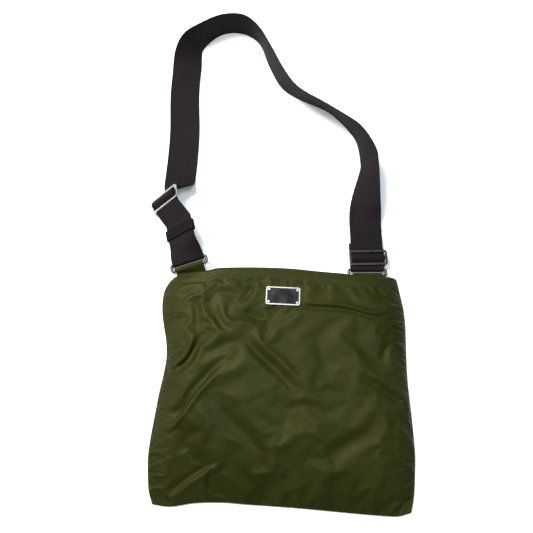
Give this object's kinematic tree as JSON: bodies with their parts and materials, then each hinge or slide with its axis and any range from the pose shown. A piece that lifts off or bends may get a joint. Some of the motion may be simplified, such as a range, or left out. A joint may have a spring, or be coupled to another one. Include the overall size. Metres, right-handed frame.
{
  "type": "crossbody messenger bag",
  "caption": "Flat nylon crossbody bag lying on its back, with a top zip, a plain metal plaque and a long webbing strap on rings and slides.",
  "frame": {"origin": "middle of the back panel's outer face, which rests on the surface", "axes": "+X to the bag's right, +Y from the bag's bottom edge to the strap, +Z out of the front panel"},
  "size_m": [0.3015, 0.5972, 0.038],
  "materials": {
    "nylon": "satin nylon, olive green",
    "lining": "plain dark lining",
    "webbing": "herringbone webbing, charcoal brown",
    "tape": "zip tape and binding",
    "teeth": "nylon zip teeth",
    "gunmetal": "dark plated metal",
    "loop": "moulded loop, near black",
    "steel": "bright plated metal",
    "enamel": "black enamel"
  },
  "bodies": {
    "bag": {"front_panel": "nylon", "back_panel": "nylon", "front_lining": "lining", "back_lining": "lining", "front_facing": "nylon", "back_facing": "nylon", "left_tab": "nylon", "right_tab": "nylon", "zip_tape_front": "tape", "zip_tape_back": "tape", "zip_teeth_front": "teeth", "zip_teeth_back": "teeth", "zip_stops": "steel", "plaque_plate": "steel", "plaque_enamel": "enamel", "plaque_rivets": "steel", "plaque_washers": "steel", "left_seam_tape": "tape", "right_seam_tape": "tape", "bottom_seam_tape": "tape"},
    "strap": {"strap_webbing": "webbing", "left_ring": "gunmetal", "right_ring": "gunmetal", "left_slide": "steel", "right_slide": "gunmetal"},
    "keeper": {"keeper_loop": "loop"},
    "slider": {"zip_slider": "steel"},
    "pull": {"zip_pull": "steel"}
  },
  "joints": [
    {"name": "strap_lift", "type": "hinge", "parent": "bag", "child": "strap", "pos_m": [0, 0.1228, 0.0062], "axis": [1, 0, 0], "range_deg": [0, 90], "deforming": ["left_tab", "right_tab"]},
    {"name": "keeper_slide", "type": "slide", "parent": "strap", "child": "keeper", "axis": [-0.2756, 0.9613, 0], "range_m": [-0.006, 0.006]},
    {"name": "zip_slide", "type": "slide", "parent": "bag", "child": "slider", "axis": [1, 0, 0], "range_m": [0, 0.14], "deforming": ["zip_teeth_front", "zip_teeth_back"]},
    {"name": "pull_swing", "type": "hinge", "parent": "slider", "child": "pull", "pos_m": [-0.0796, 0.1081, 0.0104], "axis": [0, 0, 1], "range_deg": [0, 110]}
  ]
}
